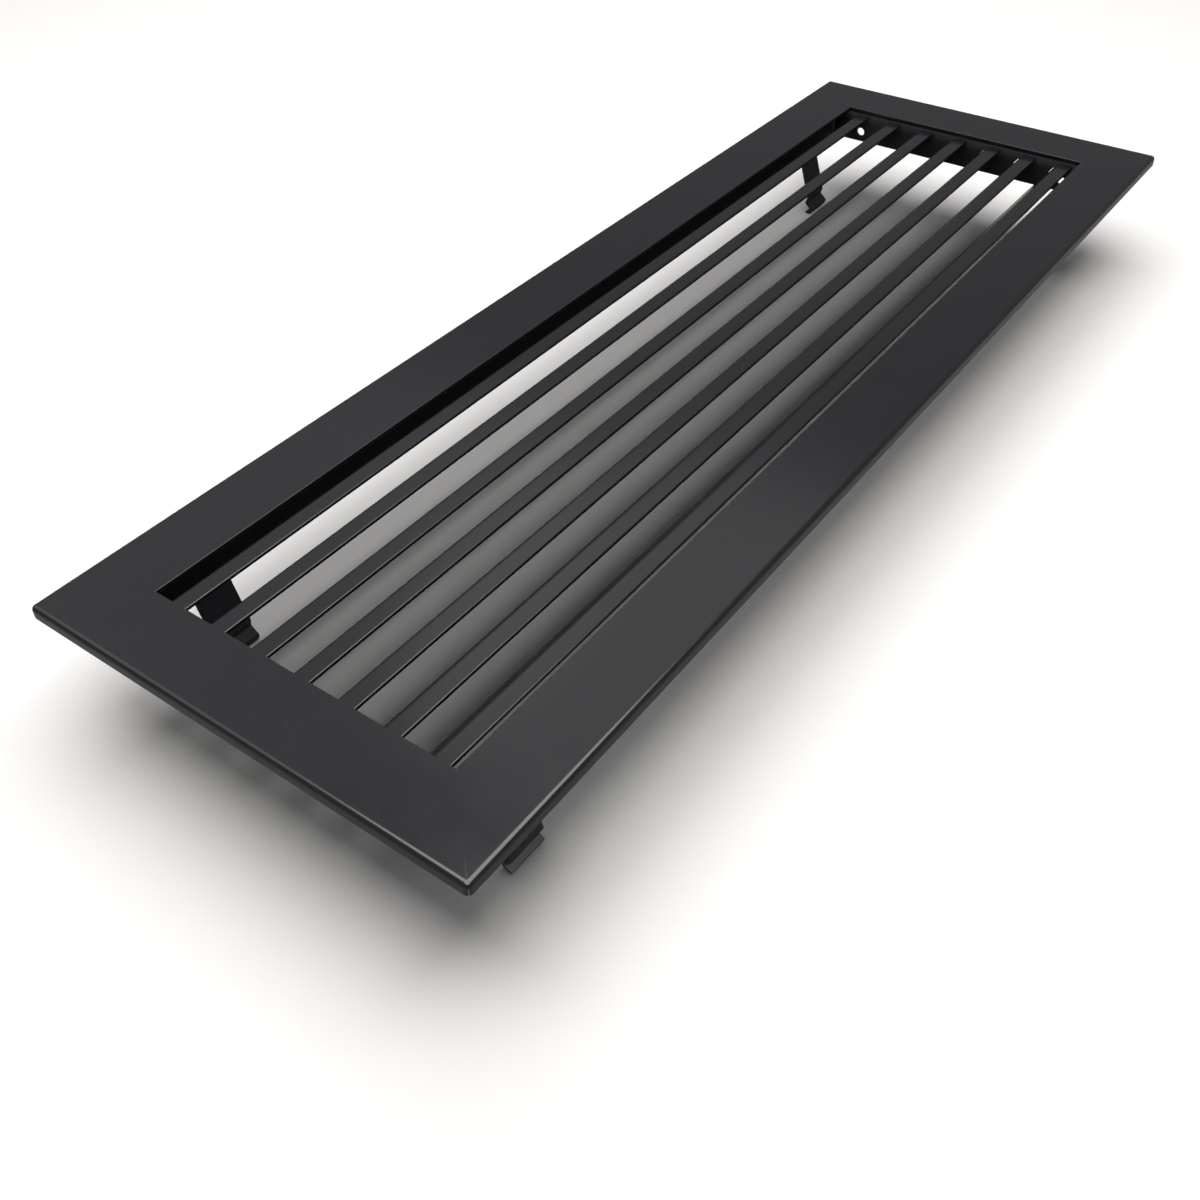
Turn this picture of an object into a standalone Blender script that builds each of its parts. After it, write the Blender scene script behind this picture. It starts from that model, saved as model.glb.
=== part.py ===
"""Fireplace vent grille: a folded steel face, a shallow box behind it, seven louvres, four clips.

Metres, +Z out of the face. The origin lies on the surface that the clips stand on, below the
middle of the face. The long side and the louvres run along X.
"""
import math

import bmesh
import bpy
from mathutils import Matrix, Vector

# Face: one sheet with its four outer edges folded down.
face_length = 0.490
face_width = 0.170
face_border = 0.026
face_sheet = 0.0015
face_lip = 0.0045
face_bend = 0.0017
seam_gap = 0.0004

# Box walls behind the face. Their reach is measured from the top of the face.
wall_reach = 0.0160
wall_sheet = 0.0012
wall_bend = 0.0018
weld_flange = 0.0080
end_wall_setback = 0.0005
side_wall_setback = 0.0085

# Louvres: a flat lip, then a blade that slants down and to the left under the face.
slat_pitch = 0.01735
slat_sheet = 0.0012
slat_lip = 0.0052
slat_run = 0.0117
slat_drop = 0.0158
slat_bend = 0.0018
slat_recess = 0.0028
tenon_width = 0.0030
tenon_offset = 0.0040
tenon_proud = 0.0006
slot_play = 0.0001

# Screw holes in the end walls, set in from the side walls and down from the top of the face.
screw_hole = 0.0040
screw_hole_inset = 0.0152
screw_hole_drop = 0.0113

# Spring clips on the side walls: pad, leaning leg, crimp, toe, and a short foot turned outward.
# The near right clip stands almost upright, so its foot shows beside the rim.
# Their setbacks are measured from the ends of the face to the middle of the clip.
clip_width = 0.0148
clip_sheet = 0.0009
clip_bend = 0.0010
clip_reach = 0.0452
clip_pad_start = 0.0050
clip_pad_end = 0.0150
clip_lean = 0.0070
upright_clip_lean = 0.0013
clip_leg_drop = 0.0225
clip_crimp = 0.0010
clip_crimp_drop = 0.0025
clip_toe = 0.0036
clip_foot = 0.0034
left_clip_setback = 0.0490
right_clip_setback = 0.0390

# Fits and edges.
fit_gap = 0.0003
edge_round = 0.00025

face_top = clip_reach
opening_length = face_length - 2 * face_border
opening_width = face_width - 2 * face_border
end_wall_inside = opening_length / 2 + end_wall_setback
side_wall_inside = opening_width / 2 + side_wall_setback
wall_top = face_top - face_sheet - fit_gap
wall_bottom = face_top - wall_reach
slat_length = 2 * (end_wall_inside - fit_gap)
slat_room = side_wall_inside - fit_gap - slat_run - slat_lip / 2
slat_count = 1 + int(2 * slat_room / slat_pitch)
blade_length = math.hypot(slat_run, slat_drop)
blade_tilt = math.atan2(slat_run, slat_drop)
along_x = Vector((1.0, 0.0, 0.0))
along_y = Vector((0.0, 1.0, 0.0))


def clear_scene():
    for item in list(bpy.data.objects):
        bpy.data.objects.remove(item, do_unlink=True)


def new_collection(name):
    group = bpy.data.collections.new(name)
    bpy.context.scene.collection.children.link(group)
    return group


def new_material(name, colour, roughness, metallic=0.0):
    material = bpy.data.materials.new(name)
    material.use_nodes = True
    shader = material.node_tree.nodes["Principled BSDF"]
    shader.inputs["Base Color"].default_value = (*colour, 1.0)
    shader.inputs["Roughness"].default_value = roughness
    shader.inputs["Metallic"].default_value = metallic
    return material


def new_object(name, data, group, location, material=None):
    mesh = bpy.data.meshes.new(name)
    data.to_mesh(mesh)
    data.free()
    mesh.shade_smooth()
    mesh.set_sharp_from_angle(angle=math.radians(35))
    item = bpy.data.objects.new(name, mesh)
    item.location = location
    group.objects.link(item)
    if material:
        mesh.materials.append(material)
    else:
        item.hide_render = True
        item.display_type = 'WIRE'
    return item


def round_folds(item, radius, least_angle=20):
    modifier = item.modifiers.new("folds", 'BEVEL')
    modifier.width = radius
    modifier.segments = 4
    modifier.limit_method = 'ANGLE'
    modifier.angle_limit = math.radians(least_angle)
    return modifier


def add_thickness(item, thickness, side):
    modifier = item.modifiers.new("sheet", 'SOLIDIFY')
    modifier.thickness = thickness
    modifier.offset = side
    modifier.use_even_offset = True


def round_cut_edges(item):
    modifier = item.modifiers.new("cut_edges", 'BEVEL')
    modifier.width = edge_round
    modifier.segments = 2
    modifier.limit_method = 'ANGLE'
    modifier.angle_limit = math.radians(60)


def cut_with(item, cutter):
    modifier = item.modifiers.new(cutter.name, 'BOOLEAN')
    modifier.operation = 'DIFFERENCE'
    modifier.solver = 'EXACT'
    modifier.object = cutter


def swept_sheet(profile, across, sweep):
    # Open sheet: each profile point is (across, up), and the line through them is swept both ways.
    data = bmesh.new()
    points = [data.verts.new(across * u + Vector((0.0, 0.0, v)) - sweep / 2) for u, v in profile]
    lines = [data.edges.new(pair) for pair in zip(points, points[1:])]
    swept = bmesh.ops.extrude_edge_only(data, edges=lines)
    ends = [part for part in swept["geom"] if isinstance(part, bmesh.types.BMVert)]
    bmesh.ops.translate(data, verts=ends, vec=sweep)
    return data


def box(data, centre, turn, size):
    place = Matrix.Translation(centre) @ turn @ Matrix.Diagonal((*size, 1.0))
    bmesh.ops.create_cube(data, size=1.0, matrix=place)


def make_face_frame(group, cutters, material):
    # A plane is inset for the opening, its rim is folded down, and a thin seam splits each corner.
    data = bmesh.new()
    bmesh.ops.create_grid(data, x_segments=1, y_segments=1, size=0.5)
    bmesh.ops.scale(data, verts=data.verts, vec=(face_length, face_width, 1.0))
    rim = list(data.edges)
    plate = list(data.faces)
    folded = bmesh.ops.extrude_edge_only(data, edges=rim)
    lowered = [part for part in folded["geom"] if isinstance(part, bmesh.types.BMVert)]
    bmesh.ops.translate(data, verts=lowered, vec=(0.0, 0.0, -face_lip))
    bmesh.ops.inset_region(data, faces=plate, thickness=face_border, use_even_offset=True)
    bmesh.ops.delete(data, geom=plate, context='FACES')
    bmesh.ops.recalc_face_normals(data, faces=data.faces)
    weight = data.edges.layers.float.new("bevel_weight_edge")
    for edge in data.edges:
        level = abs(edge.verts[0].co.z - edge.verts[1].co.z) < face_lip / 2
        if level and len(edge.link_faces) == 2 and edge.calc_face_angle() > math.radians(45):
            edge[weight] = 1.0
    item = new_object("face_frame", data, group, (0.0, 0.0, face_top), material)
    round_folds(item, face_bend).limit_method = 'WEIGHT'
    add_thickness(item, face_sheet, -1.0)

    seams = bmesh.new()
    for side_x in (-1, 1):
        for side_y in (-1, 1):
            centre = (side_x * face_length / 2, side_y * face_width / 2, -face_bend - face_lip)
            turn = Matrix.Rotation(side_x * side_y * math.pi / 4, 4, 'Z')
            box(seams, centre, turn, (6 * face_sheet, seam_gap, 2 * face_lip))
    cut_with(item, new_object("corner_seams", seams, cutters, (0.0, 0.0, face_top)))
    round_cut_edges(item)
    return item


def wall_profile(inside, outward):
    # L section: the web from its foot up, then the weld flange that lies under the face.
    return [(inside * outward, wall_bottom), (inside * outward, wall_top),
            ((inside + wall_sheet + weld_flange) * outward, wall_top)]


def make_side_wall(name, outward, group, material):
    length = 2 * (end_wall_inside + wall_sheet)
    data = swept_sheet(wall_profile(side_wall_inside, outward), along_y, along_x * length)
    item = new_object(name, data, group, (0.0, 0.0, 0.0), material)
    round_folds(item, wall_bend)
    add_thickness(item, wall_sheet, -outward)
    round_cut_edges(item)
    return item


def wall_cutter():
    # One slot for each louvre's tenon, with play on the blade's upper side, and two screw holes.
    data = bmesh.new()
    through = 6 * wall_sheet
    slot_length = tenon_width + 2 * fit_gap
    slot_width = slat_sheet + 2 * fit_gap + slot_play
    turn = Matrix.Rotation(blade_tilt, 4, 'X')
    for index in range(slat_count):
        fold_y = slat_fold(index)
        down = tenon_offset + tenon_width / 2
        rise = fit_gap + slot_play - slot_width / 2
        centre_y = fold_y + down * math.sin(blade_tilt) + rise * math.cos(blade_tilt)
        centre_z = face_top - slat_recess - down * math.cos(blade_tilt) + rise * math.sin(blade_tilt)
        box(data, (0.0, centre_y, centre_z), turn, (through, slot_width, slot_length))
    for side in (-1, 1):
        centre = (0.0, side * (side_wall_inside - screw_hole_inset), face_top - screw_hole_drop)
        place = Matrix.Translation(centre) @ Matrix.Rotation(math.pi / 2, 4, 'Y')
        bmesh.ops.create_cone(data, cap_ends=True, segments=24, radius1=screw_hole / 2,
                              radius2=screw_hole / 2, depth=through, matrix=place)
    return data


def make_end_wall(name, outward, group, cutters, material):
    width = 2 * (side_wall_inside - fit_gap)
    data = swept_sheet(wall_profile(end_wall_inside, outward), along_x, along_y * width)
    item = new_object(name, data, group, (0.0, 0.0, 0.0), material)
    round_folds(item, wall_bend)
    add_thickness(item, wall_sheet, outward)
    round_cut_edges(item)
    place = (outward * (end_wall_inside + wall_sheet / 2), 0.0, 0.0)
    cut_with(item, new_object(name + "_slots", wall_cutter(), cutters, place))
    return item


def slat_fold(index):
    # Y of the fold between lip and blade. Louvre 1 is the one farthest to the left, at +Y.
    return ((slat_count - 1) / 2 - index) * slat_pitch + slat_lip / 2


def make_slat(index, group, material):
    # Lip and blade are one folded strip, and the middle of each blade end is drawn out as a tenon.
    def down_blade(distance):
        return distance * math.sin(blade_tilt), -distance * math.cos(blade_tilt)

    profile = [(-slat_lip, 0.0), (0.0, 0.0), down_blade(tenon_offset),
               down_blade(tenon_offset + tenon_width), down_blade(blade_length)]
    data = swept_sheet(profile, along_y, along_x * slat_length)
    tenon_length = fit_gap + wall_sheet + tenon_proud
    middle = -(tenon_offset + tenon_width / 2) * math.cos(blade_tilt)
    for side in (-1, 1):
        ends = [edge for edge in data.edges if len(edge.link_faces) == 1
                and abs((edge.verts[0].co.z + edge.verts[1].co.z) / 2 - middle) < tenon_width / 20
                and edge.verts[0].co.x * side > slat_length / 4]
        drawn = bmesh.ops.extrude_edge_only(data, edges=ends)
        tips = [part for part in drawn["geom"] if isinstance(part, bmesh.types.BMVert)]
        bmesh.ops.translate(data, verts=tips, vec=(side * tenon_length, 0.0, 0.0))
    bmesh.ops.recalc_face_normals(data, faces=data.faces)
    place = (0.0, slat_fold(index), face_top - slat_recess)
    item = new_object("slat_%d" % (index + 1), data, group, place, material)
    round_folds(item, slat_bend * math.tan((math.pi / 2 - blade_tilt) / 2))
    add_thickness(item, slat_sheet, -1.0)
    round_cut_edges(item)
    return item


def clip_profile(outward, lean):
    # Middle line of the strip, from the top of the pad down to the end of the foot.
    pad = side_wall_inside + wall_sheet + fit_gap + clip_sheet / 2
    floor = clip_sheet / 2
    leg_foot = face_top - clip_pad_end - clip_leg_drop
    toe = pad - lean + clip_crimp - clip_toe
    points = [(pad, face_top - clip_pad_start),
              (pad, face_top - clip_pad_end),
              (pad - lean, leg_foot),
              (pad - lean + clip_crimp, leg_foot - clip_crimp_drop),
              (toe, floor + 2 * clip_bend),
              (toe + clip_bend, floor),
              (toe + clip_foot, floor)]
    return [(outward * y, z) for y, z in points]


def make_clip(name, centre_x, outward, lean, group, material):
    data = swept_sheet(clip_profile(outward, lean), along_y, along_x * clip_width)
    item = new_object(name, data, group, (centre_x, 0.0, 0.0), material)
    round_folds(item, clip_bend, 10)
    add_thickness(item, clip_sheet, 0.0)
    return item


def build():
    clear_scene()
    parts = new_collection("vent_grille")
    cutters = new_collection("cutters")
    face_black = new_material("face_black", (0.045, 0.045, 0.048), 0.42)
    wall_black = new_material("wall_black", (0.030, 0.030, 0.033), 0.46)
    slat_black = new_material("slat_black", (0.045, 0.045, 0.048), 0.42)
    clip_black = new_material("clip_black", (0.036, 0.036, 0.040), 0.38)

    made = [make_face_frame(parts, cutters, face_black)]
    made.append(make_side_wall("side_wall_left", 1, parts, wall_black))
    made.append(make_side_wall("side_wall_right", -1, parts, wall_black))
    made.append(make_end_wall("end_wall_far", 1, parts, cutters, wall_black))
    made.append(make_end_wall("end_wall_near", -1, parts, cutters, wall_black))
    for index in range(slat_count):
        made.append(make_slat(index, parts, slat_black))
    left_place = face_length / 2 - left_clip_setback
    right_place = face_length / 2 - right_clip_setback
    for name, place, outward, lean in (
            ("clip_left_far", left_place, 1, clip_lean),
            ("clip_left_near", -left_place, 1, clip_lean),
            ("clip_right_far", right_place, -1, clip_lean),
            ("clip_right_near", -right_place, -1, upright_clip_lean)):
        made.append(make_clip(name, place, outward, lean, parts, clip_black))

    grille = bpy.data.objects.new("grille_origin", None)
    parts.objects.link(grille)
    for item in made:
        item.parent = grille


build()
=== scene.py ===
# Fireplace vent grille in black powder coat, lying on its clips on a white table.
import math

import bmesh
import bpy
import numpy as np
from mathutils import Matrix, Vector


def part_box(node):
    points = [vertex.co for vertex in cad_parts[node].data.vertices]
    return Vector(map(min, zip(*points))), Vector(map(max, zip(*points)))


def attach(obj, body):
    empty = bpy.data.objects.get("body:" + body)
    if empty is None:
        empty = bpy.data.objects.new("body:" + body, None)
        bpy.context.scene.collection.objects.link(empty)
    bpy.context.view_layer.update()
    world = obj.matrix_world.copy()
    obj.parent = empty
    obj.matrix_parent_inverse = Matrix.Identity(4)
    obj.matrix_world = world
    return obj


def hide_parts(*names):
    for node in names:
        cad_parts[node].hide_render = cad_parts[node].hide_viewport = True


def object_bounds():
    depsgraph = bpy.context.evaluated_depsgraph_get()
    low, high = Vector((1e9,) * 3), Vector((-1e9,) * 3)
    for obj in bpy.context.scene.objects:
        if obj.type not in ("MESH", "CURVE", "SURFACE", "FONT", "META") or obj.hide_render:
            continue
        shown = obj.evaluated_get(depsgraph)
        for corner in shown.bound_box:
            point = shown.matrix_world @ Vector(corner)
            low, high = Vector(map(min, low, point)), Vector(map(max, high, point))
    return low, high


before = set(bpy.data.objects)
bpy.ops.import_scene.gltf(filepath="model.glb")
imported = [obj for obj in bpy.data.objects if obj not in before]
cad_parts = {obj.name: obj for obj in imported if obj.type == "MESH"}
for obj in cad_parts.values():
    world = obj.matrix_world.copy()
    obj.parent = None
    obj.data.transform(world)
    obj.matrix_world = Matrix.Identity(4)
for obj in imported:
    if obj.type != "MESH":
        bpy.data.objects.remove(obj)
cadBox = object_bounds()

cadLow, cadHigh = (np.array(corner) for corner in cadBox)
faceTop = cadHigh[2]
rideBody = "root"
sharpAngle = 40  # degrees between faces, past which an edge is drawn sharp
samePoint = 1e-7  # metres between two points of a line that count as one
endShare = 0.9  # rounding of a strip's ends, as a share of its long edges'


# Strips: a bent line, a wall thickness, rounded cut edges, and a sweep with rounded ends.

def roundedLine(points, radii, steps=8):
    # Corner at P between unit directions a and b, turning by T towards side n, with radius r:
    # p(t) = P + a r (sin(Tt) - tan(T/2)) + n r (1 - cos(Tt)), tangent a cos(Tt) + n sin(Tt), t from 0 to 1.
    points = np.asarray(points, float)
    legs = np.diff(points, axis=0)
    legs /= np.linalg.norm(legs, axis=1)[:, None]
    a, b = legs[:-1], legs[1:]
    turn = np.arctan2(a[:, 0] * b[:, 1] - a[:, 1] * b[:, 0], (a * b).sum(1))
    n = np.stack([-a[:, 1], a[:, 0]], 1) * np.sign(turn)[:, None]
    r = np.broadcast_to(np.asarray(radii, float), turn.shape)[:, None]
    angle = np.abs(turn)[:, None] * np.linspace(0, 1, steps + 1)
    along = r * (np.sin(angle) - np.tan(np.abs(turn) / 2)[:, None])
    aside = r * (1 - np.cos(angle))
    arcs = points[1:-1, None] + a[:, None] * along[..., None] + n[:, None] * aside[..., None]
    tangents = a[:, None] * np.cos(angle)[..., None] + n[:, None] * np.sin(angle)[..., None]
    line = np.vstack([points[:1], arcs.reshape(-1, 2), points[-1:]])
    tangents = np.vstack([legs[:1], tangents.reshape(-1, 2), legs[-1:]])
    keep = np.r_[True, np.linalg.norm(np.diff(line, axis=0), axis=1) > samePoint]
    return line[keep], tangents[keep]


def stripSection(line, tangents, low, high, edge, under=None, steps=4):
    # Closed loop round a strip: p + n high one way, p + n low back, n = tangent turned left.
    # Each cut end has two quarter arcs: c + r (n cos f + t sin f), f from 0 to 90 degrees, r = edge on the
    # high side and under on the low side.
    under = edge if under is None else under
    n = np.stack([-tangents[:, 1], tangents[:, 0]], 1)
    f = np.linspace(0, math.pi / 2, steps + 1)[:, None]

    def endCap(p, t, m, top, bottom, rTop, rBottom):
        first = m * np.cos(f) + t * np.sin(f)
        second = t * np.cos(f) - m * np.sin(f)
        centreTop = p + m * (top - rTop) - t * rTop
        centreBottom = p + m * (bottom + rBottom) - t * rBottom
        arcs = np.vstack([centreTop + rTop * first, centreBottom + rBottom * second])
        return arcs, np.vstack([first, second])

    capEnd, capEndOut = endCap(line[-1], tangents[-1], n[-1], high, low, edge, under)
    capStart, capStartOut = endCap(line[0], -tangents[0], -n[0], -low, -high, under, edge)
    inner = slice(1, -1)
    loop = np.vstack([(line + n * high)[inner], capEnd, (line + n * low)[inner][::-1], capStart])
    out = np.vstack([n[inner], capEndOut, -n[inner][::-1], capStartOut])
    count, caps = len(line) - 2, 2 * (steps + 1)
    total = 2 * (count + caps)
    top = (2 * count + caps + steps + 1 + np.arange(count + caps)) % total
    bottom = (2 * count + caps - 1 - top) % total
    return loop, out, top, bottom


def sweepStrip(section, length, edge, frameAxes, centre, tongue=None, steps=3):
    # Point = centre + U u + V v + W w. At an end w = +-(L/2 - e (1 - cos f)), and the loop is inset by e (1 - sin f).
    # A tongue is the stretch of the section, (first, last, reach), that runs on past both ends.
    loop, out, top, bottom = section
    total = len(loop)
    f = np.linspace(0, math.pi / 2, steps + 1)
    w = np.r_[-length / 2 + edge * (1 - np.cos(f)), length / 2 - edge * (1 - np.cos(f))[::-1]]
    inset = np.r_[edge * (1 - np.sin(f)), edge * (1 - np.sin(f))[::-1]]
    soft = np.ones(total)
    if tongue:
        first, last, reach = tongue
        soft[top[first:last + 1]] = 0
        soft[bottom[first:last + 1]] = 0
    flat = loop[None] - out[None] * (inset[:, None] * soft[None])[..., None]
    grid = np.concatenate([flat, np.broadcast_to(w[:, None, None], (len(w), total, 1))], 2)
    i = np.arange(total)
    j = (i + 1) % total
    s = np.arange(len(w) - 1)[:, None] * total
    sides = np.stack([s + i, s + total + i, s + total + j, s + j], -1).reshape(-1, 4)
    points = [grid.reshape(-1, 3)]
    faces = [sides]
    lastRing = (len(w) - 1) * total
    made = len(w) * total
    for ring, sign in ((0, -1), (lastRing, 1)):
        quads = np.stack([top[:-1], top[1:], bottom[1:], bottom[:-1]], -1) + ring
        if tongue:
            base = quads[first:last]
            quads = np.delete(quads, np.s_[first:last], axis=0)
            rim = np.r_[top[first:last + 1], bottom[first:last + 1][::-1]] + ring
            tip = grid.reshape(-1, 3)[rim] + np.array([0, 0, sign * reach])
            points.append(tip)
            k = np.arange(len(rim))
            new = made + k
            made += len(rim)
            nextK = (k + 1) % len(rim)
            wall = np.stack([rim, rim[nextK], new[nextK], new], -1)
            half = last + 1 - first
            m = np.arange(half - 1)
            tipQuads = np.stack([new[m], new[m + 1], new[2 * half - 2 - m], new[2 * half - 1 - m]], -1)
            faces.append(wall if sign > 0 else wall[:, ::-1])
            faces.append(tipQuads[:, ::-1] if sign > 0 else tipQuads)
        faces.append(quads[:, ::-1] if sign > 0 else quads)
    local = np.vstack(points)
    return np.asarray(centre) + local @ np.array(frameAxes, float), np.vstack(faces)


def newMesh(name, points, faces):
    mesh = bpy.data.meshes.new(name)
    mesh.from_pydata(points.tolist(), [], faces.tolist())
    mesh.validate()
    mesh.shade_smooth()
    mesh.set_sharp_from_angle(angle=math.radians(sharpAngle))
    return mesh


pieces = []


def newPiece(name, mesh, material, slot, *nodes):
    piece = bpy.data.objects.new(name, mesh)
    bpy.context.scene.collection.objects.link(piece)
    pieces.append(piece)
    mesh.materials.append(material)
    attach(piece, rideBody)
    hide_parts(*nodes)
    return piece


def newCutter(name, points, faces):
    mesh = bpy.data.meshes.new(name)
    mesh.from_pydata(points.tolist(), [], faces)
    cutter = bpy.data.objects.new(name, mesh)
    bpy.context.scene.collection.objects.link(cutter)
    return cutter


def cutAndApply(piece, cutter):
    # The cut is applied here, so that the finished piece holds its own mesh and the cutter can go.
    modifier = piece.modifiers.new("cut", 'BOOLEAN')
    modifier.object = cutter
    modifier.operation = 'DIFFERENCE'
    modifier.solver = 'EXACT'
    bpy.context.view_layer.update()
    depsgraph = bpy.context.evaluated_depsgraph_get()
    mesh = bpy.data.meshes.new_from_object(piece.evaluated_get(depsgraph))
    piece.modifiers.clear()
    old = piece.data
    piece.data = mesh
    mesh.name = piece.name
    bpy.data.meshes.remove(old)
    bpy.data.objects.remove(cutter, do_unlink=True)
    piece.data.shade_smooth()
    piece.data.set_sharp_from_angle(angle=math.radians(sharpAngle))


def weldPoints(mesh):
    # Arcs of no radius fall on one point each.
    data = bmesh.new()
    data.from_mesh(mesh)
    bmesh.ops.remove_doubles(data, verts=data.verts, dist=1e-6)
    data.to_mesh(mesh)
    data.free()


def softenEdges(piece, width, angle):
    bevel = piece.modifiers.new("soft", 'BEVEL')
    bevel.width = width
    bevel.segments = 2
    bevel.limit_method = 'ANGLE'
    bevel.angle_limit = math.radians(angle)
    bevel.harden_normals = False


def evenNormals(piece):
    # Large flat faces keep their own normal, and only the bends beside them are shaded round.
    even = piece.modifiers.new("even", 'WEIGHTED_NORMAL')
    even.mode = 'FACE_AREA'
    even.keep_sharp = True


def boxArrays(centre, turn, size):
    # The eight corners of a box, turned by a 3 x 3 matrix, and its six faces.
    signs = np.array([[x, y, z] for x in (-1, 1) for y in (-1, 1) for z in (-1, 1)], float)
    corners = np.asarray(centre) + (signs * np.asarray(size) / 2) @ np.asarray(turn, float).T
    faces = np.array([[0, 1, 3, 2], [4, 6, 7, 5], [0, 4, 5, 1], [2, 3, 7, 6], [0, 2, 6, 4], [1, 5, 7, 3]])
    return corners, faces


def joined(parts):
    # Several (points, faces) pairs as one array of points and one list of faces.
    offsets = np.cumsum([0] + [len(points) for points, _ in parts[:-1]])
    faces = np.vstack([faces + shift for (_, faces), shift in zip(parts, offsets)])
    return np.vstack([points for points, _ in parts]), faces.tolist()


# Materials.

def newMaterial(name):
    material = bpy.data.materials.new(name)
    material.use_nodes = True
    tree = material.node_tree
    return material, tree, tree.nodes["Principled BSDF"]


def powderGroup():
    # Powder coat: fine orange peel and a coarser flow, as a height and a roughness that both vary a little.
    group = bpy.data.node_groups.new("powderCoat", 'ShaderNodeTree')
    face = group.interface
    for label, value in (("Peel Scale", 900.0), ("Peel Depth", 1.0), ("Flow Depth", 1.0),
                         ("Base Roughness", 0.4), ("Roughness Range", 0.06)):
        socket = face.new_socket(name=label, in_out='INPUT', socket_type='NodeSocketFloat')
        socket.default_value = value
    face.new_socket(name="Height", in_out='OUTPUT', socket_type='NodeSocketFloat')
    face.new_socket(name="Roughness", in_out='OUTPUT', socket_type='NodeSocketFloat')
    face.new_socket(name="Speck", in_out='OUTPUT', socket_type='NodeSocketFloat')
    nodes, links = group.nodes, group.links
    given = nodes.new('NodeGroupInput')
    result = nodes.new('NodeGroupOutput')
    place = nodes.new('ShaderNodeTexCoord')
    peel = nodes.new('ShaderNodeTexNoise')
    peel.inputs["Detail"].default_value = 3.0
    flow = nodes.new('ShaderNodeTexNoise')
    flow.inputs["Scale"].default_value = 90.0
    flow.inputs["Detail"].default_value = 2.0
    links.new(place.outputs["Object"], peel.inputs["Vector"])
    links.new(place.outputs["Object"], flow.inputs["Vector"])
    links.new(given.outputs["Peel Scale"], peel.inputs["Scale"])
    peelHeight = nodes.new('ShaderNodeMath')
    peelHeight.operation = 'MULTIPLY'
    links.new(peel.outputs["Fac"], peelHeight.inputs[0])
    links.new(given.outputs["Peel Depth"], peelHeight.inputs[1])
    height = nodes.new('ShaderNodeMath')
    height.operation = 'MULTIPLY_ADD'
    links.new(flow.outputs["Fac"], height.inputs[0])
    links.new(given.outputs["Flow Depth"], height.inputs[1])
    links.new(peelHeight.outputs[0], height.inputs[2])
    links.new(height.outputs[0], result.inputs["Height"])
    centred = nodes.new('ShaderNodeMath')
    centred.operation = 'SUBTRACT'
    centred.inputs[1].default_value = 0.5
    links.new(flow.outputs["Fac"], centred.inputs[0])
    rough = nodes.new('ShaderNodeMath')
    rough.operation = 'MULTIPLY_ADD'
    links.new(centred.outputs[0], rough.inputs[0])
    links.new(given.outputs["Roughness Range"], rough.inputs[1])
    links.new(given.outputs["Base Roughness"], rough.inputs[2])
    links.new(rough.outputs[0], result.inputs["Roughness"])
    dust = nodes.new('ShaderNodeTexVoronoi')
    dust.inputs["Scale"].default_value = 420.0
    dust.inputs["Randomness"].default_value = 1.0
    links.new(place.outputs["Object"], dust.inputs["Vector"])
    dot = nodes.new('ShaderNodeMapRange')
    dot.inputs["From Min"].default_value = 0.06
    dot.inputs["From Max"].default_value = 0.03
    links.new(dust.outputs["Distance"], dot.inputs["Value"])
    links.new(dot.outputs["Result"], result.inputs["Speck"])
    return group


powder = powderGroup()


def powderMaterial(look):
    material, tree, shader = newMaterial(look["name"])
    nodes, links = tree.nodes, tree.links
    coat = nodes.new('ShaderNodeGroup')
    coat.node_tree = powder
    coat.inputs["Peel Scale"].default_value = look["peelScale"]
    coat.inputs["Peel Depth"].default_value = look["peelDepth"]
    coat.inputs["Flow Depth"].default_value = look["flowDepth"]
    coat.inputs["Base Roughness"].default_value = look["roughness"]
    coat.inputs["Roughness Range"].default_value = look["roughnessRange"]
    tint = nodes.new('ShaderNodeMix')
    tint.data_type = 'RGBA'
    tint.inputs["A"].default_value = (*look["colour"], 1.0)
    tint.inputs["B"].default_value = (*look["speckColour"], 1.0)
    amount = nodes.new('ShaderNodeMath')
    amount.operation = 'MULTIPLY'
    amount.inputs[1].default_value = look["speckAmount"]
    links.new(coat.outputs["Speck"], amount.inputs[0])
    links.new(amount.outputs[0], tint.inputs["Factor"])
    links.new(tint.outputs["Result"], shader.inputs["Base Color"])
    links.new(coat.outputs["Roughness"], shader.inputs["Roughness"])
    bump = nodes.new('ShaderNodeBump')
    bump.inputs["Strength"].default_value = look["bump"]
    bump.inputs["Distance"].default_value = 0.00002
    links.new(coat.outputs["Height"], bump.inputs["Height"])
    links.new(bump.outputs["Normal"], shader.inputs["Normal"])
    shader.inputs["Specular IOR Level"].default_value = look["specular"]
    if "paintedShadeFrom" in look:
        # Painted shade: the colour darkens and the roughness rises towards the top of the wall, where it turns under
        # the face's edge.
        place = nodes.new('ShaderNodeTexCoord')
        height = nodes.new('ShaderNodeSeparateXYZ')
        paintedShadeMask = nodes.new('ShaderNodeMapRange')
        paintedShadeMask.inputs["From Min"].default_value = look["paintedShadeFrom"]
        paintedShadeMask.inputs["From Max"].default_value = look["paintedShadeTo"]
        links.new(place.outputs["Object"], height.inputs["Vector"])
        links.new(height.outputs["Z"], paintedShadeMask.inputs["Value"])
        darker = nodes.new('ShaderNodeMix')
        darker.data_type = 'RGBA'
        darker.inputs["B"].default_value = (*look["paintedShadeColour"], 1.0)
        links.new(paintedShadeMask.outputs["Result"], darker.inputs["Factor"])
        links.new(tint.outputs["Result"], darker.inputs["A"])
        links.new(darker.outputs["Result"], shader.inputs["Base Color"])
        rougher = nodes.new('ShaderNodeMath')
        rougher.operation = 'MULTIPLY_ADD'
        rougher.inputs[1].default_value = 0.5
        links.new(paintedShadeMask.outputs["Result"], rougher.inputs[0])
        links.new(coat.outputs["Roughness"], rougher.inputs[2])
        links.new(rougher.outputs[0], shader.inputs["Roughness"])
    return material


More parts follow.
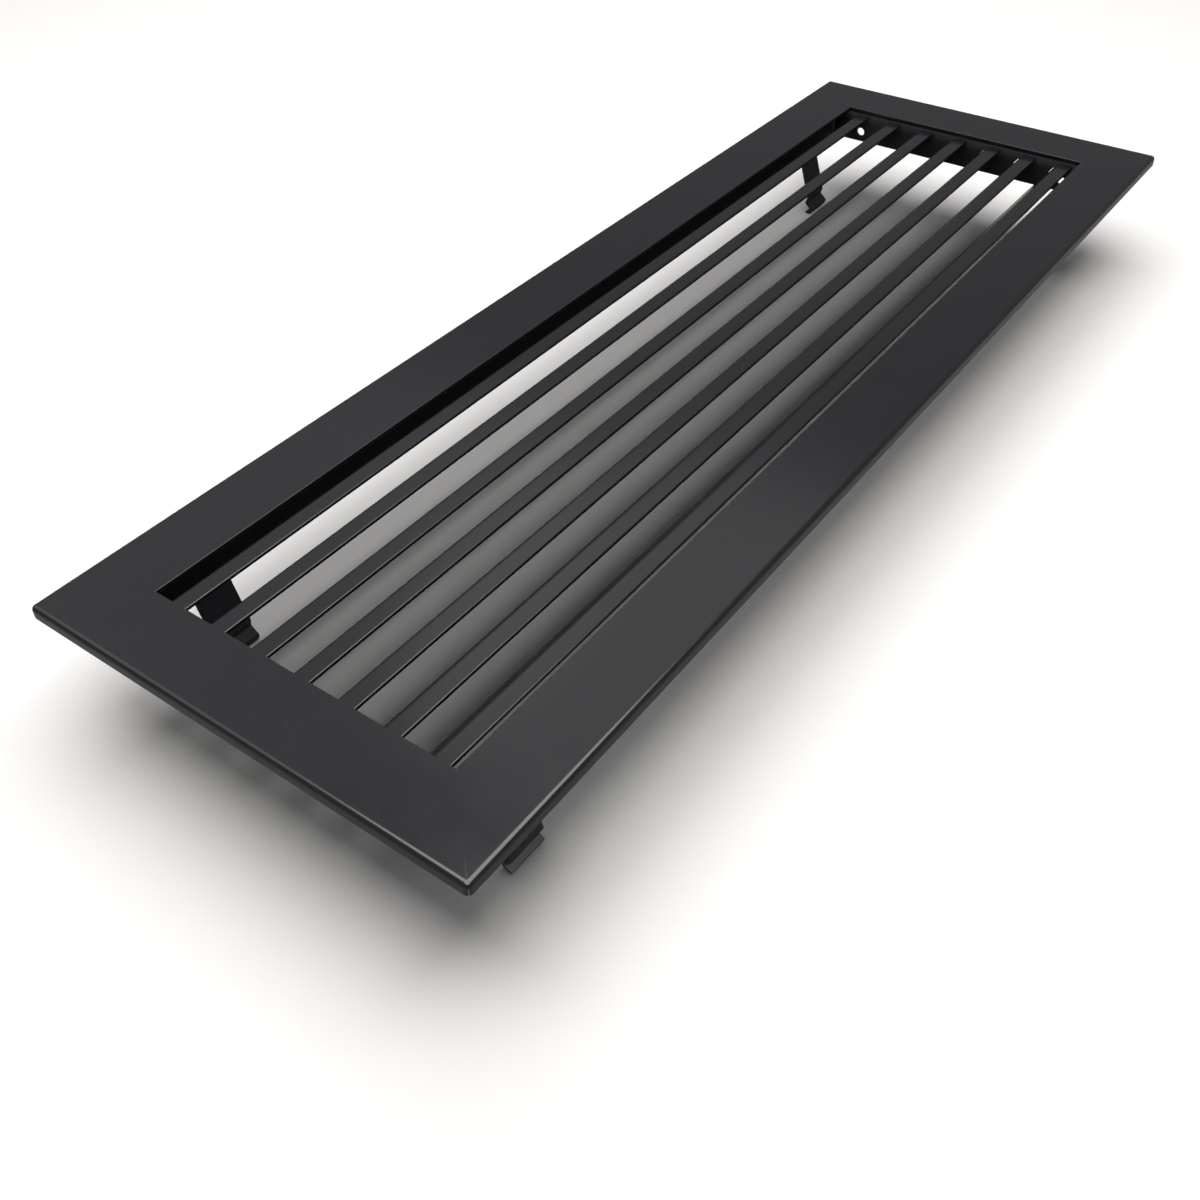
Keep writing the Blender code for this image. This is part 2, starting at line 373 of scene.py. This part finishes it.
blackCoat = {
    "name": "faceCoat", "colour": (0.0112, 0.0108, 0.0132), "speckColour": (0.11, 0.11, 0.12), "speckAmount": 0.5,
    "peelScale": 900.0, "peelDepth": 1.0, "flowDepth": 1.0, "roughness": 0.18, "roughnessRange": 0.06,
    "bump": 0.7, "specular": 0.5,
}
faceCoat = powderMaterial(blackCoat)
slatCoat = powderMaterial(dict(blackCoat, name="slatCoat", colour=(0.0120, 0.0116, 0.0140)))
# The end walls take a slightly lifted copy of the black coat, painted light, with a painted shade band along their
# top under the face's edge.
wallCoat = powderMaterial(dict(blackCoat, name="wallCoat", colour=(0.0150, 0.0142, 0.0190), roughness=0.34,
                               paintedShadeColour=(0.0120, 0.0115, 0.0170),
                               paintedShadeFrom=faceTop - 0.0070, paintedShadeTo=faceTop - 0.0030))
# The clip coat's colour is lifted well above the face's: painted light on the clips, which stand in shade.
clipCoat = powderMaterial(dict(blackCoat, name="clipCoat", colour=(0.0380, 0.0380, 0.0410), roughness=0.30,
                               specular=0.3))
# A copy for the left clips, still lifted above the face's colour but a little darker and with its reflections cut
# down: painted shade on their feet.
shadedClipCoat = powderMaterial(dict(blackCoat, name="shadedClipCoat", colour=(0.0340, 0.0330, 0.0410), roughness=0.50,
                                   specular=0.08))
# The side walls take a much lighter copy of the wall coat: painted light that lifts their shaded faces.
sideWallCoat = powderMaterial(dict(blackCoat, name="sideWallCoat", colour=(0.0400, 0.0385, 0.0470), roughness=0.40,
                                   specular=0.3))
print("materials ready")


# Face: one sheet with an opening and four folded edges, split by a thin seam at each corner.

face = {"sheet": 0.0015, "lip": 0.0045, "border": 0.026, "bend": 0.0017, "edge": 0.00028, "seam": 0.0002,
        "corner": 0.0018, "cornerSteps": 6, "softEdge": 0.0001, "softAngle": 50}


def buildFace(spec):
    # Section point (u, v), u out from the opening's edge. Corner k of the plan is an arc of radius
    # r = max(R - (border - u), 0) about s (a + u - r), from angle 180 + 90 k degrees over 90 degrees.
    points = [(0.0, 0.0), (spec["border"], 0.0), (spec["border"], -spec["lip"])]
    line, tangents = roundedLine(points, spec["bend"], 10)
    loop, _, _, _ = stripSection(line, tangents, -spec["sheet"], 0.0, spec["edge"])
    half = (cadHigh - cadLow)[:2] / 2 - spec["border"]
    middle = (cadHigh + cadLow)[:2] / 2
    signs = np.array([(-1, -1), (1, -1), (1, 1), (-1, 1)], float)
    angle = math.pi + np.linspace(0, math.pi / 2, spec["cornerSteps"] + 1) + np.arange(4)[:, None] * math.pi / 2
    radius = np.maximum(spec["corner"] - (spec["border"] - loop[:, 0]), 0)
    centre = signs[:, None, None] * (half + (loop[:, 0] - radius)[:, None])
    arm = np.stack([np.cos(angle), np.sin(angle)], -1)[:, :, None] * radius[:, None]
    xy = (middle + centre + arm).reshape(-1, len(loop), 2)
    rings = len(xy)
    z = np.broadcast_to(faceTop + loop[None, :, 1:], (rings, len(loop), 1))
    grid = np.concatenate([xy, z], 2)
    count = len(loop)
    i = np.arange(count)
    j = (i + 1) % count
    s = np.arange(rings)[:, None]
    n = (s + 1) % rings
    faces = np.stack([s * count + i, n * count + i, n * count + j, s * count + j], -1).reshape(-1, 4)
    mesh = newMesh("faceFrame", grid.reshape(-1, 3), faces)
    weldPoints(mesh)
    piece = newPiece("faceFrame", mesh, faceCoat, "face_black", "face_frame")

    seams = []
    for sx, sy in signs:
        corner = (middle[0] + sx * (half[0] + spec["border"]), middle[1] + sy * (half[1] + spec["border"]),
                  faceTop - spec["bend"] - spec["lip"])
        turn = Matrix.Rotation(math.atan2(sy, sx), 3, 'Z')
        seams.append(boxArrays(corner, turn, (6 * spec["sheet"], spec["seam"], 2 * spec["lip"])))
    cutAndApply(piece, newCutter("cornerSeams", *joined(seams)))
    softenEdges(piece, spec["softEdge"], spec["softAngle"])


buildFace(face)
print("face built")


# Walls: L strips, the end walls with a slot for each louvre and two screw holes.

wall = {"sheet": 0.0012, "bend": 0.0013, "reach": 0.0160, "flange": 0.0080, "edge": 0.00028, "gap": 0.0003,
        "hole": 0.0040, "holeInset": 0.0152, "holeDrop": 0.0113, "holeSides": 40}
slat = {"count": 7, "pitch": 0.01735, "foldSide": 0.0026, "sheet": 0.0012, "lip": 0.0062, "run": 0.0117,
        "drop": 0.0158, "bend": 0.0018, "recess": 0.0028, "edge": 0.00042, "underEdge": 0.0001,
        "tenonWidth": 0.0030, "tenonOffset": 0.0040, "tenonProud": 0.0006, "slotAbove": 0.0002}
bladeTilt = math.atan2(slat["run"], slat["drop"])
bladeLength = math.hypot(slat["run"], slat["drop"])
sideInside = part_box("end_wall_far")[1].y + wall["gap"]
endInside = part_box("end_wall_far")[0].x


def wallSection(spec):
    top = faceTop - face["sheet"] - spec["gap"]
    points = [(0.0, faceTop - spec["reach"]), (0.0, top), (spec["sheet"] + spec["flange"], top)]
    line, tangents = roundedLine(points, spec["bend"])
    return stripSection(line, tangents, -spec["sheet"], 0.0, spec["edge"])


def slatFold(index):
    return ((slat["count"] - 1) / 2 - index) * slat["pitch"] + slat["foldSide"]


def wallCutter(name, x):
    # Slots turned to the blade's slant, with play on its upper side, and two round screw holes.
    parts = []
    reach = 3 * wall["sheet"]
    width = slat["sheet"] + wall["gap"] + slat["slotAbove"]
    down = slat["tenonOffset"] + slat["tenonWidth"] / 2
    rise = slat["slotAbove"] - width / 2
    turn = Matrix.Rotation(bladeTilt, 3, 'X')
    for index in range(slat["count"]):
        y = slatFold(index) + down * math.sin(bladeTilt) + rise * math.cos(bladeTilt)
        z = faceTop - slat["recess"] - down * math.cos(bladeTilt) + rise * math.sin(bladeTilt)
        parts.append(boxArrays((x, y, z), turn, (2 * reach, width, slat["tenonWidth"] + 2 * wall["gap"])))
    points, faces = joined(parts)
    # Hole: circle (y + r cos a, z + r sin a) at both ends of the cutter.
    sides = wall["holeSides"]
    k = np.arange(sides)
    nextK = (k + 1) % sides
    a = k / sides * 2 * math.pi
    for side in (-1, 1):
        middle = side * (sideInside - wall["holeInset"])
        ring = np.stack([np.zeros(sides), middle + wall["hole"] / 2 * np.cos(a),
                         faceTop - wall["holeDrop"] + wall["hole"] / 2 * np.sin(a)], 1)
        low, high = len(points), len(points) + sides
        points = np.vstack([points, ring + [x - reach, 0, 0], ring + [x + reach, 0, 0]])
        faces += [(low + k)[::-1].tolist(), (high + k).tolist()]
        faces += np.stack([low + k, low + nextK, high + nextK, high + k], 1).tolist()
    return newCutter(name, points, faces)


def buildWalls():
    section = wallSection(wall)
    sideLength = 2 * (endInside + wall["sheet"])
    endLength = 2 * (sideInside - wall["gap"])
    for name, node, outward in (("wallLeft", "side_wall_left", 1), ("wallRight", "side_wall_right", -1)):
        axes = ((0, outward, 0), (0, 0, 1), (outward, 0, 0))
        points, faces = sweepStrip(section, sideLength, wall["edge"] * endShare, axes, (0, outward * sideInside, 0))
        newPiece(name, newMesh(name, points, faces), sideWallCoat, "wall_black", node)
    for name, node, outward in (("wallFar", "end_wall_far", 1), ("wallNear", "end_wall_near", -1)):
        axes = ((outward, 0, 0), (0, 0, 1), (0, -outward, 0))
        points, faces = sweepStrip(section, endLength, wall["edge"] * endShare, axes, (outward * endInside, 0, 0))
        piece = newPiece(name, newMesh(name, points, faces), wallCoat, "wall_black", node)
        cutAndApply(piece, wallCutter(name + "Cuts", outward * (endInside + wall["sheet"] / 2)))


buildWalls()
print("walls built")


# Louvres: lip and blade in one strip, with the middle of each blade end run on as a tenon.

def buildSlats(spec):
    def downBlade(distance):
        return (distance * math.sin(bladeTilt), -distance * math.cos(bladeTilt))

    points = [(-spec["lip"], 0.0), (0.0, 0.0), downBlade(spec["tenonOffset"]),
              downBlade(spec["tenonOffset"] + spec["tenonWidth"]), downBlade(bladeLength)]
    line, tangents = roundedLine(points, spec["bend"])
    section = stripSection(line, tangents, -spec["sheet"], 0.0, spec["edge"], spec["underEdge"])
    reach = wall["gap"] + wall["sheet"] + spec["tenonProud"]
    loop, _, top, _ = section
    first, last = (int(np.argmin(np.linalg.norm(loop[top] - points[k], axis=1))) for k in (2, 3))
    axes = ((0, 1, 0), (0, 0, 1), (1, 0, 0))
    for index in range(spec["count"]):
        centre = (0.0, slatFold(index), faceTop - spec["recess"])
        points3, faces = sweepStrip(section, 2 * (endInside - wall["gap"]), spec["underEdge"] * endShare, axes,
                                    centre, (first, last, reach))
        name = "slat%d" % (index + 1)
        newPiece(name, newMesh(name, points3, faces), slatCoat, "slat_black", "slat_%d" % (index + 1))


buildSlats(slat)
print("louvres built")


# Clips: pad, leaning leg, crimp, toe, and a foot turned outward.

clip = {"sheet": 0.0009, "width": 0.0148, "padStart": 0.0050, "padEnd": 0.0150, "lean": 0.0070,
        "uprightLean": 0.0013, "legDrop": 0.0225, "crimp": 0.0010, "crimpDrop": 0.0025, "toe": 0.0036,
        "foot": 0.0034, "footSlope": 0.69, "footSpare": 0.0022, "bend": 0.0010, "edge": 0.0002}
# The left clips take the shaded copy of the clip coat, the right clips the lighter one.
clipCoats = {"left": shadedClipCoat, "right": clipCoat}


def clipSection(spec, lean):
    pad = sideInside + wall["sheet"] + wall["gap"] + spec["sheet"] / 2
    floor = spec["sheet"] / 2
    legFoot = faceTop - spec["padEnd"] - spec["legDrop"]
    toe = pad - lean + spec["crimp"] - spec["toe"]
    points = [(pad, faceTop - spec["padStart"]), (pad, faceTop - spec["padEnd"]),
              (pad - lean, legFoot), (pad - lean + spec["crimp"], legFoot - spec["crimpDrop"]),
              (toe, floor + 2 * spec["bend"]), (toe + spec["bend"], floor), (toe + spec["foot"], floor)]
    radii = [3 * spec["bend"], 1.5 * spec["bend"], 1.2 * spec["bend"], spec["bend"], spec["bend"]]
    if lean == spec["uprightLean"]:
        # The upright clip's foot slopes down outward and catches the light.
        run = spec["foot"] + spec["footSpare"]
        points[-3:] = [(toe - spec["footSpare"], floor + spec["footSlope"] * run), (toe + spec["foot"], floor)]
        radii = radii[:-1]
    line, tangents = roundedLine(points, radii)
    return stripSection(line, tangents, -spec["sheet"] / 2, spec["sheet"] / 2, spec["edge"])


def buildClips(spec):
    for side, outward in (("left", 1), ("right", -1)):
        for end in ("far", "near"):
            node = "clip_%s_%s" % (side, end)
            upright = node == "clip_right_near"
            section = clipSection(spec, spec["uprightLean"] if upright else spec["lean"])
            low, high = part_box(node)
            centreX = (low.x + high.x) / 2
            axes = ((0, outward, 0), (0, 0, 1), (outward, 0, 0))
            points3, faces = sweepStrip(section, spec["width"], spec["edge"] * endShare, axes, (centreX, 0, 0))
            name = "clip" + side.capitalize() + end.capitalize()
            newPiece(name, newMesh(name, points3, faces), clipCoats[side], "clip_black", node)


buildClips(clip)
print("clips built")


for piece in pieces:
    evenNormals(piece)


# Table, light and camera.

# The square panel lights the table and draws the shadows. The round ones only show as reflections in the coat, and
# hang lower, so that it doesn't hide them: a bright one behind the camera for the lines along the folds, and three
# faint ones for the glow on the face.
studio = {
    "tableSize": 6.0, "tableColour": (0.872, 0.856, 0.836), "tableTone": 0.985, "tableMirrored": 0.28,
    "fadeFrom": 0.9, "fadeTo": 2.2, "world": 0.20,
    "panels": [
        {"name": "topPanel", "shape": 'SQUARE', "size": 1.5, "power": 24.5, "place": (0.12, 0.17, 1.20)},
        {"name": "foldPanel", "shape": 'DISK', "size": 2.1, "power": 60.0, "place": (-0.45, -0.45, 1.10)},
        {"name": "rightGlow", "shape": 'DISK', "size": 0.8, "power": 1.0, "place": (0.76, 0.50, 1.08)},
        {"name": "middleGlow", "shape": 'DISK', "size": 1.1, "power": 0.8, "place": (0.50, 1.12, 1.06)},
        {"name": "leftGlow", "shape": 'DISK', "size": 1.2, "power": 3.4, "place": (-0.45, 1.12, 1.08)},
    ],
}


def tableMaterial(spec):
    material, tree, shader = newMaterial("tableWhite")
    grain = tree.nodes.new('ShaderNodeTexNoise')
    grain.inputs["Scale"].default_value = 60.0
    grain.inputs["Detail"].default_value = 4.0
    place = tree.nodes.new('ShaderNodeTexCoord')
    tone = tree.nodes.new('ShaderNodeMix')
    tone.data_type = 'RGBA'
    tone.inputs["A"].default_value = (*(value * spec["tableTone"] for value in spec["tableColour"]), 1.0)
    tone.inputs["B"].default_value = (*spec["tableColour"], 1.0)
    tree.links.new(place.outputs["Object"], grain.inputs["Vector"])
    tree.links.new(grain.outputs["Fac"], tone.inputs["Factor"])
    # Reflections see a darker table, so that the folded edges stay dark against it.
    path = tree.nodes.new('ShaderNodeLightPath')
    seen = tree.nodes.new('ShaderNodeMix')
    seen.data_type = 'RGBA'
    seen.inputs["B"].default_value = (*(value * spec["tableMirrored"] for value in spec["tableColour"]), 1.0)
    tree.links.new(path.outputs["Is Glossy Ray"], seen.inputs["Factor"])
    tree.links.new(tone.outputs["Result"], seen.inputs["A"])
    tree.links.new(seen.outputs["Result"], shader.inputs["Base Color"])
    shader.inputs["Roughness"].default_value = 0.6
    shader.inputs["Specular IOR Level"].default_value = 0.15
    # Far out, the camera sees the table fade into the white of the room.
    away = tree.nodes.new('ShaderNodeVectorMath')
    away.operation = 'LENGTH'
    fade = tree.nodes.new('ShaderNodeMapRange')
    fade.inputs["From Min"].default_value = spec["fadeFrom"]
    fade.inputs["From Max"].default_value = spec["fadeTo"]
    glow = tree.nodes.new('ShaderNodeMath')
    glow.operation = 'MULTIPLY'
    tree.links.new(place.outputs["Object"], away.inputs[0])
    tree.links.new(away.outputs["Value"], fade.inputs["Value"])
    tree.links.new(fade.outputs["Result"], glow.inputs[0])
    tree.links.new(path.outputs["Is Camera Ray"], glow.inputs[1])
    tree.links.new(glow.outputs[0], shader.inputs["Emission Strength"])
    shader.inputs["Emission Color"].default_value = (1.0, 1.0, 1.0, 1.0)
    return material


def buildTable(spec):
    # A square at z = 0.
    half = spec["tableSize"] / 2
    points = [(-half, -half, 0.0), (half, -half, 0.0), (half, half, 0.0), (-half, half, 0.0)]
    mesh = bpy.data.meshes.new("table")
    mesh.from_pydata(points, [], [(0, 1, 2, 3)])
    mesh.materials.append(tableMaterial(spec))
    table = bpy.data.objects.new("table", mesh)
    bpy.context.scene.collection.objects.link(table)


def buildRoom(spec):
    world = bpy.data.worlds.new("studioWorld")
    bpy.context.scene.world = world
    world.use_nodes = True
    # The room is dim for light and reflections, and white where the camera looks past the table.
    tree = world.node_tree
    room = tree.nodes["Background"]
    room.inputs["Color"].default_value = (1.0, 1.0, 1.0, 1.0)
    path = tree.nodes.new('ShaderNodeLightPath')
    strength = tree.nodes.new('ShaderNodeMapRange')
    strength.inputs["To Min"].default_value = spec["world"]
    strength.inputs["To Max"].default_value = 1.0
    tree.links.new(path.outputs["Is Camera Ray"], strength.inputs["Value"])
    tree.links.new(strength.outputs["Result"], room.inputs["Strength"])


def buildPanels(spec):
    for panel in spec["panels"]:
        mirrored = panel["shape"] == 'DISK'
        data = bpy.data.lights.new(panel["name"], 'AREA')
        data.shape = panel["shape"]
        data.size = panel["size"]
        data.energy = panel["power"]
        light = bpy.data.objects.new(panel["name"], data)
        light.location = panel["place"]
        light.visible_glossy = mirrored
        light.visible_diffuse = not mirrored
        light.visible_camera = False
        bpy.context.scene.collection.objects.link(light)


buildTable(studio)
buildRoom(studio)
buildPanels(studio)

view = {"place": (-0.36281, -0.21537, 0.29580), "right": (0.58833, -0.80838, -0.01984),
        "up": (0.55755, 0.38776, 0.73402), "lens": 37.896, "sensor": 36.0}


def buildCamera(spec):
    right, up = Vector(spec["right"]), Vector(spec["up"])
    back = right.cross(up)
    data = bpy.data.cameras.new("camera")
    data.lens = spec["lens"]
    data.sensor_width = spec["sensor"]
    data.clip_start = 0.01
    data.clip_end = 50.0
    camera = bpy.data.objects.new("camera", data)
    camera.matrix_world = Matrix.Translation(spec["place"]) @ Matrix((right, up, back)).transposed().to_4x4()
    bpy.context.scene.collection.objects.link(camera)
    bpy.context.scene.camera = camera


buildCamera(view)
bpy.context.scene.view_settings.view_transform = 'Standard'
print("studio ready")

bpy.context.view_layer.update()
